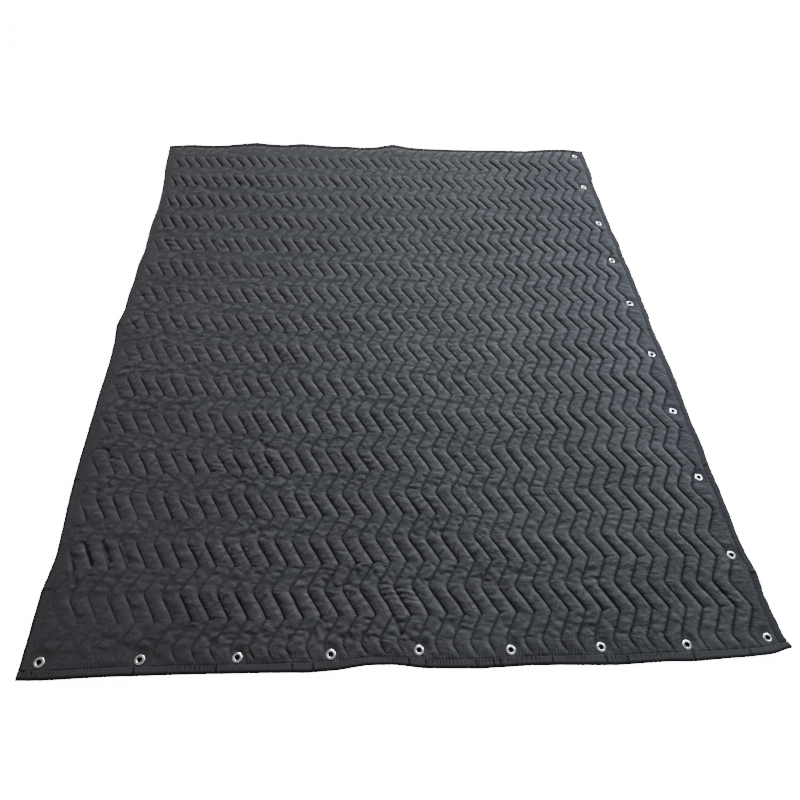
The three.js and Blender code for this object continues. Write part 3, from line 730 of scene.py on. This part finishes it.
def quiltTones(s, t, channel, z):
    # four tones for the cloth's material, products and sums of soft ramps over the pattern: drawn (strength
    # of the painted shade at the stitch lines and of the pucker bump), fold (painted shade in hollows, beside
    # the lines and between wrinkles, and broader darker areas), rim (painted highlight on shoulders and
    # wrinkle crests), seam (painted shade of gathers beside the front tape)
    tone = clothTone
    area = lambda across=None, along=None: zone(s, t, across, along)
    share, rising, span = padShare(s, t), risingLeg(t), risingSpan(t)
    loose = area((-150, -550)) * easeStep(0.25, -0.25, softNoise(s / 120 + 21, t / 130 + 44))
    drawn = easeStep(0.45, 0.95, share) * (1 + 0.35 * rising * area((100, 700)))
    drawn = drawn * (1 - 0.5 * loose * rising)    # some of these lines hardly show at the left
    drawn = drawn * (1 - 0.12 * area((-300, -800)) + 0.5 * area((300, 800)))
    drawn = drawn * (1 - 0.3 * rising * area(None, (200, 900))) * (1 + 0.2 * (1 - span) * area((300, 800)))
    # painted shade in hollows, and darker areas beside the front tape, on the right band, at the front left
    # corner and across the back
    hollow, reach, low, high = tone["hollow"]
    fold = hollow * hollowShade(z, reach, low, high)
    fold = fold + tone["frontTape"] * area(None, (-1176, -1192)) + tone["rightBand"] * area((935, 985))
    fold = fold + tone["frontCorner"] * spot(s, t, -900, -1120, 420)
    fold = fold + tone["backBelt"] * hump(t, 600, 260) * (0.45 + 0.55 * area((200, 800)))
    # painted shade beside the lines of the rising legs, less at the back; beside the lines of the other legs
    # at the right and at the back left
    lineGap = np.abs(channel - np.round(channel)) * quilt["pitch"]
    wide = (0.85 + 0.15 * area((-550, -50))) * (1 - 0.5 * loose) * (1 + 0.90 * area((200, 700)))
    wide = wide * (1 - (0.5 + 0.35 * area((500, 100))) * area(None, (200, 900)))
    fold = fold + tone["risingLine"] * span * wide * hump(lineGap, 0, tone["risingWidth"])
    wide = 1.12 * area((150, 650)) * (0.25 + 0.75 * area(None, (-700, -200)))
    wide = wide + 0.45 * area((300, -300), (400, 900))
    fold = fold + (1 - span) * wide * hump(lineGap, 0, tone["fallingWidth"])
    # painted highlight on the shoulders beside the lines, mostly on the other legs
    beside = (channel - np.floor(channel)) * quilt["pitch"]
    light, place, width = tone["nearRim"]
    rim = light * hump(beside, place, width) * (1 - 0.85 * span)
    lit = 0.85 - 0.33 * area((-400, 100), (800, 300)) - 0.25 * hump(s, 0, 400) * area(None, (-400, -800))
    litShare = tone["litRim"] + 0.13 * area(None, (-300, 700)) + 0.18 * area((-300, 500))
    litShare = litShare - 0.18 * area((-300, -700), (0, -700)) + 0.16 * area((500, 0), (500, 1000))
    litShare = litShare + 0.13 * area((200, 600), (-600, 0))
    place = tone["litPlace"] + 3 * area(None, (-200, 600)) + 2.5 * area((200, 700)) - 1.5 * area((-300, -800))
    width = tone["litWidth"] - 2.4 * area((-300, -800))
    rim = rim + litShare * (1 - lit * span) * hump(quilt["pitch"] - beside, place, width)
    rim = rim * np.clip(share, 0, 1) ** 1.5
    # painted highlight on wrinkle crests and painted shade between them, stronger in the middle front, weaker
    # at the back
    crestScale = 1 + 0.45 * spot(s, t, 0, -250, 450) - 0.4 * area(None, (300, 800))
    crest = crestHeight(z, tone["crestReach"]) * crestScale / tone["crestFull"]
    rim = rim + tone["crestLight"] * np.clip(crest, 0, 1)
    fold = fold + tone["crestDark"] * np.clip(-crest, 0, 1)
    some, uneven = tone["seam"]
    seam = area(None, (-1172, -1186)) * easeStep(960, 900, np.abs(s)) * (1 - 0.5 * area((450, 650)))
    seam = seam * np.clip(some + uneven * softNoise(s / 75 + 8, 0.4), 0.08, 1)
    return {"drawn": drawn, "fold": fold, "rim": rim, "seam": seam}


# quilted cloth: one grid for panel and eyelet strips, so their joins line up
base, follow, channel = quiltColumns()
rowT, bandStarts = quiltRows()
frontCount = bandStarts[0]
patternT, gridChannel = np.meshgrid(rowT, channel, indexing="ij")
patternS = base[None, :] + follow[None, :] * swingAt(patternT, gridChannel)
gridX, gridY = placeCloth(patternS, patternT)
gridZ = quiltHeight(patternS, patternT, gridChannel)
cellCut = openEyelets(gridX, gridY, gridZ)
gridLift = liftOff(patternS, patternT)
topGrid = np.stack([gridX, gridY, gridZ + gridLift], axis=2) * mm
topNormals = gridNormals(topGrid)
quiltUv = np.stack([gridChannel, patternT * quilt["mapScale"] / quilt["pitch"]], axis=2)
quiltValues = quiltTones(patternS, patternT, gridChannel, gridZ)

underside = {"tape": 1.5, "stitch": 1.8, "panel": 0.0, "strip": 0.4, "eyeletReach": 17.0}    # heights, reach
# stitch line where panel and right strip meet
lineColumn = int(np.argmin(np.abs(channel - (quilt["lines"] - 2))))
inTape = insetOf(patternS, patternT) < quilt["tape"] + 2.0
onStitch = np.abs(gridChannel - np.round(gridChannel)) < 0.02
panelUnder = np.where(inTape, underside["tape"], np.where(onStitch, underside["stitch"], underside["panel"]))
panelUnder = (panelUnder + gridLift) * mm
eyeletGap = eyeletGapOf(gridX, gridY)
stripUnder = np.where(inTape | (eyeletGap < underside["eyeletReach"]), underside["tape"], underside["strip"])
stripUnder = (stripUnder + gridLift) * mm

panelCols = slice(0, lineColumn + 1)
colPick = np.unique(np.concatenate([[0, 3], np.arange(8, lineColumn + 1, 6), [lineColumn]]))
quiltPanels = []
for k, name in enumerate(("quiltPanelFront", "quiltPanelNear", "quiltPanelMiddle", "quiltPanelBack")):
    start = bandStarts[k]
    stop = len(rowT) if name == "quiltPanelBack" else bandStarts[k + 1] + 1
    part = (slice(start, stop), panelCols)
    rowPick = np.unique(np.append(np.arange(0, stop - start, quilt["legRows"][k] // 2), stop - start - 1))
    piece = panelPiece(name, topGrid[part], panelUnder[part], rowPick, colPick,
                       topNormals[part], quiltUv[part],
                       {key: value[part] for key, value in quiltValues.items()}, quiltCloth)
    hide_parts("quilted_panel")
    quiltPanels.append(piece)


def stripPiece(name, rowsPart, colsPart):
    # an eyelet strip, cut out of the grid, with its openings
    part = (rowsPart, colsPart)
    cells = cellCut[rowsPart.start:rowsPart.stop - 1, colsPart.start:colsPart.stop - 1]
    under = topGrid[part].copy()
    under[..., 2] = stripUnder[part]
    piece = slabPiece(name, topGrid[part], under, topNormals[part], quiltUv[part],
                      {key: value[part] for key, value in quiltValues.items()}, cells, quiltCloth)
    return piece


quiltFront = stripPiece("quiltFront", slice(0, frontCount + 1), slice(0, len(base)))
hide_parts("eyelet_strip_front")
quiltRight = stripPiece("quiltRight", slice(frontCount, len(rowT)), slice(lineColumn, len(base)))
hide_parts("eyelet_strip_right")
print("quilted cloth:", [len(p.data.polygons) for p in quiltPanels + [quiltFront, quiltRight]], "faces")

tape = {
    # distance in from the edge and height, round the outside and back along the inside
    "section": [(22.4, 0.0), (14, 0.0), (5, 0.0), (1.7, 0.5), (0.4, 1.8), (0.0, 3.2), (0.4, 4.6), (1.8, 5.7),
                (5, 6.2), (10, 6.3), (14, 6.2), (17, 6.0), (18.6, 5.8), (20.3, 5.85), (22.0, 5.75),
                (22.8, 5.3), (22.2, 4.85), (12, 4.8), (3.2, 4.6), (1.9, 3.2), (3.2, 1.4),
                (12, 1.15), (21.8, 1.0)],
    "step": {"front": 1.7, "back": 3.6, "left": 3.6, "right": 3.0},    # mm between sections
    "cornerGap": 1.2,    # between side tapes and the front and back ones
    "stitchInset": 18.6, "stitchZ": 5.8,
    "gather": 0.5, "gatherWidth": 5.5,    # puckers along the stitching
    "tickPitch": 9.4, "tickDepth": 0.7,    # drawn-in folds along the inner edge
    "tickShare": {"front": 1.0, "back": 0.4, "left": 0.4, "right": 0.3},
    "outerFold": {"front": (4.5, 8), "back": (2, 4), "left": (4, 8), "right": (1.2, 3)},    # painted shade on the outer fold: full to, gone at
    "dim": {"front": 0.0, "back": 0.78, "left": 0.0, "right": 0.32},    # the whole tape's darkness
    "lump": {"front": 0.25, "back": 1.0, "left": 0.5, "right": 1.4},    # how uneven the outer fold is
    "pleats": {"front": [-731, -527, -333, -279, -30, 14, 149, 194, 213, 353, 501, 559, 744, 905],
               "back": [-640, -395, 48, 700, 862], "left": [-985, -640, 10, 260, 655, 905],
               "right": [-985, -620, -12, 421, 600, 940]},
    "pleatDepth": 0.9, "pleatWidth": 2.2, "pleatRidge": 0.7,
    "noiseRow": {"front": 3.0, "back": 57.0, "left": 101.0, "right": 149.0},
}


def tapeSurface(side, at, inset, z):
    # the section laid along one edge, from place, inset and height, with gathers, pleats and a wavering edge
    across = side in ("front", "back")
    sign = -1 if side in ("left", "front") else 1
    noise = lambda reach, row: softNoise(at / reach, tape["noiseRow"][side] + row)
    waver = 1 + 0.055 * noise(70, 0) + 0.03 * noise(17, 5)
    inset = np.where(inset > 6, 6 + (inset - 6) * waver, inset)
    out = inset - tape["lump"][side] * (noise(21, 70) + 0.6 * noise(9, 80)) * np.clip(1 - inset / 12, 0, 1)
    s = at if across else sign * (halfWidth - out)
    t = sign * (halfLength - out) if across else at
    x, y = placeCloth(s, t)
    onTop = easeStep(4.9, 5.6, z) * easeStep(2, 7, inset)
    gather = noise(4.6, 9 + inset / 60) * (0.55 + 0.45 * noise(90, 20))
    gather = tape["gather"] * hump(inset, tape["stitchInset"], tape["gatherWidth"]) * gather
    beat = at / tape["tickPitch"] + 0.45 * noise(13, 40)
    tick = hump(beat - np.floor(beat), 0.5, 0.15) * np.clip(0.6 + 0.9 * noise(60, 50), 0, 1)
    tick = tick * tape["tickShare"][side] * easeStep(9, 15, inset + 3 * noise(7, 60))
    pleat, ridge = 0.0, 0.0
    for p in tape["pleats"][side]:
        lean = p + (inset - 10) * 0.12 * np.sin(p)
        pleat = pleat + hump(at, lean, tape["pleatWidth"])
        ridge = ridge + hump(at, lean + 5.0, 4.0)
    z = z + onTop * (gather + 0.35 * noise(34, 30 + inset / 14) + tape["pleatRidge"] * ridge)
    z = z - onTop * (tape["pleatDepth"] * np.clip(pleat, 0, 1) + tape["tickDepth"] * tick)
    # painted shade in the pleats and drawn-in folds and on the outer fold, and the whole tape's darkness by
    # side
    fold = pleat * easeStep(1, 4, inset) + tick
    fold = fold + 1 - easeStep(*tape["outerFold"][side], inset) + tape["dim"][side]
    return np.stack([x, y, z + liftOff(s, t)], axis=-1) * mm, np.clip(fold, 0, 1)


def tapePiece(side):
    # one tape, its section carried along the edge and closed at both ends
    reach = halfWidth if side in ("front", "back") else halfLength - quilt["tape"] - tape["cornerGap"]
    at = np.linspace(-reach, reach, int(2 * reach / tape["step"][side]))
    section = np.array(tape["section"])
    atGrid, inset = np.meshgrid(at, section[:, 0], indexing="ij")
    high = np.meshgrid(at, section[:, 1], indexing="ij")[1]
    points, fold = tapeSurface(side, atGrid, inset, high)
    n, m = points.shape[:2]
    index = np.arange(n * m).reshape(n, m)
    turned = np.roll(index, -1, axis=1)
    quads = np.stack([index[:-1], turned[:-1], turned[1:], index[1:]], axis=2).reshape(-1, 4)
    ends = [index[0][::-1].tolist(), index[-1].tolist()]
    if side in ("back", "left"):    # these two run the other way round
        quads, ends = quads[:, ::-1], [e[::-1] for e in ends]
    piece = makePiece("tape" + side.capitalize(), points.reshape(-1, 3), quads.tolist() + ends, bindingCloth,
                      fold=fold.ravel())
    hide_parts("binding_" + side)
    return piece


tapes = [tapePiece(side) for side in ("front", "back", "left", "right")]
print("binding tape:", sum(len(p.data.polygons) for p in tapes), "faces")

nickelLook = {
    "smudge": {"Scale": 160.0, "Detail": 4.0, "Roughness": 0.6}, "toneEnds": (0.30, 0.66),
    # inside: colour of the painted shade inside the barrel
    "tones": ((0.50, 0.50, 0.51, 1), (0.86, 0.86, 0.87, 1)), "inside": (0.05, 0.05, 0.05, 1),
    "roughness": (0.16, 0.38),
}


def nickelMaterial(look):
    # plated metal: fine brushed roughness, a little tarnish in the tone, painted shade inside the barrel
    kit = nodeKit("nickelPlate")
    smudge = kit.add("TexNoise", kit.add("TexCoord").outputs["Object"], **look["smudge"]).outputs["Fac"]
    kit.shaded(kit.ramp(smudge, look["toneEnds"], look["tones"]), kit.attribute("inside"), look["inside"])
    kit.link(kit.ranged(smudge, (0.0, 1.0), look["roughness"]), kit.shader.inputs["Roughness"])
    kit.constants(Metallic=1.0)
    return kit.material


def eyeletRings():
    # a closed profile turned round each centre: washer, barrel, rolled flange; each ring leans its own way
    hole, barrel, flange, washer, u = map(eyelets.get, ("hole", "barrel", "flange", "washer", "under"))
    profile = np.array([
        (hole, 0.6), (hole + 0.7, 0.1), (washer - 0.5, 0.5), (washer, 0.9), (washer - 0.4, 1.1),
        (barrel + 0.3, 1.05), (barrel, 1.5), (barrel, u - 0.3), (barrel + 0.4, u), (flange - 0.5, u - 0.05),
        (flange, u + 0.25), (flange - 0.5, u + 0.75), (flange - 1.8, u + 1.45), (flange - 3.6, u + 2.05),
        (flange - 5.2, u + 2.15), (hole + 0.7, u + 1.6), (hole + 0.1, u + 0.8),
    ])
    turn = np.linspace(0, 2 * np.pi, eyelets["segments"], endpoint=False)
    ring = np.stack([profile[None, :, 0] * np.cos(turn)[:, None], profile[None, :, 0] * np.sin(turn)[:, None],
                     np.repeat(profile[None, :, 1], len(turn), axis=0)], axis=2)
    n, m = ring.shape[:2]
    index = np.arange(n * m).reshape(n, m)
    nextTurn, nextPoint = np.roll(index, -1, axis=0), np.roll(index, -1, axis=1)
    both = np.roll(nextTurn, -1, axis=1)
    quads = np.stack([index, nextTurn, both, nextPoint], axis=2).reshape(-1, 4)
    lean = randoms.normal(0, eyelets["lean"], (len(eyeletXY), 2))
    rings = np.repeat(ring.reshape(1, -1, 3), len(eyeletXY), axis=0)
    rings[:, :, 2] += rings[:, :, 0] * lean[:, :1] + rings[:, :, 1] * lean[:, 1:]
    rings[:, :, 2] = np.maximum(rings[:, :, 2], 0.05)    # not into the floor
    rings[:, :, :2] += eyeletXY[:, None, :]
    faces = quads[None] + (np.arange(len(eyeletXY)) * n * m)[:, None, None]
    # painted shade inside the barrel, full at the hole's wall
    inside = np.tile(easeStep(hole + 0.8, hole + 0.1, profile[:, 0]), n * len(eyeletXY))
    return rings.reshape(-1, 3) * mm, faces.reshape(-1, 4), inside


ringVerts, ringFaces, ringInside = eyeletRings()
eyeletSet = makePiece("eyeletSet", ringVerts, ringFaces.tolist(), nickelMaterial(nickelLook),
                      inside=ringInside)
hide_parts(*eyeletNames)
print("eyelets:", len(eyeletXY), "rings,", len(ringFaces), "faces")

# stitching: each stitch is a long eight-faced bead lying along its line
stitches = {
    "quilt": {"pitch": 7.0, "long": 5.4, "wide": 0.95, "high": 0.5, "proud": 0.05, "clear": 31.0},
    "tape": {"pitch": 5.0, "long": 3.8, "wide": 0.9, "high": 0.5, "proud": 0.1,
             "ends": (12.0, 34.0)},    # short of the corners: front and back, left and right
    "tones": ((0.006, 0.006, 0.007, 1), (0.014, 0.0145, 0.016, 1)), "grain": {"Scale": 900.0, "Detail": 2.0},
    "roughness": 0.80, "specular": 0.15,
}


def stitchBeads(name, x, y, z, dirX, dirY, size, material):
    # six points for each stitch: both ends, both sides, top and bottom
    length = np.hypot(dirX, dirY)
    dx, dy, zero = dirX / length, dirY / length, np.zeros_like(x)
    here = np.stack([x, y, z + size["proud"]], axis=1)
    end = np.stack([dx, dy, zero], axis=1) * (size["long"] / 2)
    side = np.stack([-dy, dx, zero], axis=1) * (size["wide"] / 2)
    up = np.array([0.0, 0.0, size["high"] / 2])
    corners = [here - end - up, here + end - up, here + side, here - side, here + up, here - up]
    verts = np.stack(corners, axis=1).reshape(-1, 3) * mm
    faces = np.array([(0, 3, 4), (3, 1, 4), (1, 2, 4), (2, 0, 4), (3, 0, 5), (1, 3, 5), (2, 1, 5), (0, 2, 5)])
    allFaces = faces[None] + 6 * np.arange(len(x))[:, None, None]
    return makePiece(name, verts, allFaces.reshape(-1, 3).tolist(), material)


def threadMaterial(look):
    # dark spun thread with a slight gloss and tone noise
    kit = nodeKit("darkThread")
    tone = kit.add("TexNoise", kit.add("TexCoord").outputs["Object"], **look["grain"]).outputs["Fac"]
    kit.link(kit.ramp(tone, (0.0, 1.0), look["tones"]), kit.shader.inputs["Base Color"])
    kit.constants(**{"Roughness": look["roughness"], "Specular IOR Level": look["specular"]})
    return kit.material


darkThread = threadMaterial(stitches)


def quiltStitching():
    # stitches along each zigzag line, evenly spaced, none close to an eyelet
    size = stitches["quilt"]
    slope = np.hypot(1, 2 * quilt["swing"] / quilt["turn"])
    reach = halfLength - quilt["tape"] - 2
    along = np.arange(-reach, reach, size["pitch"] / slope)
    line, t = np.meshgrid(np.arange(quilt["lines"]) * 1.0, along, indexing="ij")
    lineAt = lambda t: quilt["first"] + line * quilt["pitch"] + swingAt(t, line)
    s = lineAt(t)
    x, y = placeCloth(s, t)
    x1, y1 = placeCloth(lineAt(t + 1), t + 1)
    z = quiltHeight(s, t, line) + liftOff(s, t)
    clear = eyeletGapOf(x, y) > size["clear"]
    places = (grid[clear] for grid in (x, y, z, x1 - x, y1 - y))
    return stitchBeads("quiltStitches", *places, size, darkThread)


def tapeStitching():
    # one row of stitches along each tape
    size = stitches["tape"]
    parts = []
    for side in ("front", "back", "left", "right"):
        reach = halfWidth - size["ends"][0] if side in ("front", "back") else halfLength - size["ends"][1]
        at = np.arange(-reach, reach, size["pitch"])
        inset, high = np.full_like(at, tape["stitchInset"]), np.full_like(at, tape["stitchZ"])
        here, there = (tapeSurface(side, at + step, inset, high)[0] / mm for step in (0, 1))
        parts.append(np.concatenate([here, (there - here)[:, :2]], axis=1))
    return stitchBeads("tapeStitches", *np.concatenate(parts).T, size, darkThread)


quiltStitches = quiltStitching()
tapeStitches = tapeStitching()
print("stitches, quilting and tape:", [len(p.data.polygons) // 8 for p in (quiltStitches, tapeStitches)])

# floor, light and camera, in metres
studio = {
    "floor": (0.92, 0.92, 0.92, 1), "floorGlow": 16.0, "floorReach": 14.0, "floorZ": -0.0006,
    "world": (0.985, 0.99, 1.0, 1), "worldStrength": 0.34,
    "key": {"at": (3.4, 14.4, 6.5), "aim": (1.0, -1.0, 0.0), "size": (3.4, 2.4), "power": 600.0,
            "spread": 55.0, "tint": (1.0, 0.99, 0.98)},
    "fill": {"at": (0.45, 0.05, 1.5), "aim": (0.45, 0.05, 0.0), "size": (0.9, 0.9), "power": 19.0,
             "spread": 180.0, "tint": (1.0, 0.975, 0.955)},
    "side": {"at": (2.5, 0.6, 1.35), "aim": (0.2, 0.4, 0.0), "size": (1.1, 1.1), "power": 138.0,
             "spread": 180.0, "tint": (0.57, 0.73, 1.0)},
    "shadeSheet": (0.012, 0.012, 0.013, 1), "shadeSheetZ": -0.0003,    # painted shade: a dark sheet under the blanket, seen through the eyelets
    "shadeSheetCorners": ((-0.99, -1.203), (1.0, -1.203), (0.968, 1.198), (-0.985, 1.13)),
}


def stageFace(name, corners, z, kit):
    # one flat face with four corners
    mesh = bpy.data.meshes.new(name)
    mesh.from_pydata([(x, y, z) for x, y in corners], [], [(0, 1, 2, 3)])
    mesh.materials.append(kit.material)
    return addObject(name, mesh)


def makeFloor():
    # a glowing pale floor, and a dark sheet of painted shade just under the blanket, seen only through the
    # eyelets
    r = studio["floorReach"]
    kit = nodeKit("palePaper")
    kit.constants(**{"Base Color": studio["floor"], "Roughness": 0.9, "Emission Color": studio["floor"],
                     "Emission Strength": studio["floorGlow"]})
    kit.material.cycles.emission_sampling = "NONE"
    floor = stageFace("studioFloor", ((-r, -r), (r, -r), (r, r), (-r, r)), studio["floorZ"], kit)
    kit = nodeKit("paintedShadeSheet")
    kit.constants(**{"Base Color": studio["shadeSheet"], "Roughness": 0.9})
    shadeSheet = stageFace("paintedShadeSheet", studio["shadeSheetCorners"], studio["shadeSheetZ"], kit)


def makeLight(name, spec):
    data = bpy.data.lights.new(name, "AREA")
    data.shape, data.size, data.size_y = "RECTANGLE", spec["size"][0], spec["size"][1]
    data.energy, data.color, data.spread = spec["power"], spec["tint"], np.radians(spec["spread"])
    light = addObject(name, data)
    light.location = spec["at"]
    light.rotation_euler = (Vector(spec["aim"]) - Vector(spec["at"])).to_track_quat("-Z", "Y").to_euler()


def makeWorld():
    world = bpy.data.worlds.new("studioWorld")
    bpy.context.scene.world = world
    world.use_nodes = True
    sky = world.node_tree.nodes["Background"]
    sky.inputs["Color"].default_value = studio["world"]
    sky.inputs["Strength"].default_value = studio["worldStrength"]


camera = {
    "at": (-0.1726, -1.6237, 1.7127), "turn": (36.715, -3.577, -2.745),    # metres, degrees
    "lens": 27.77, "sensor": 36.0, "clip": (0.02, 100.0),    # mm, mm, metres
}


def makeCamera():
    data = bpy.data.cameras.new("photoCamera")
    data.sensor_width, data.lens = camera["sensor"], camera["lens"]
    data.clip_start, data.clip_end = camera["clip"]
    eye = addObject("photoCamera", data)
    eye.location, eye.rotation_euler = camera["at"], np.radians(camera["turn"])
    bpy.context.scene.camera = eye


makeFloor()
makeWorld()
for name in ("key", "fill", "side"):
    makeLight(name + "Light", studio[name])
makeCamera()
print("studio set")
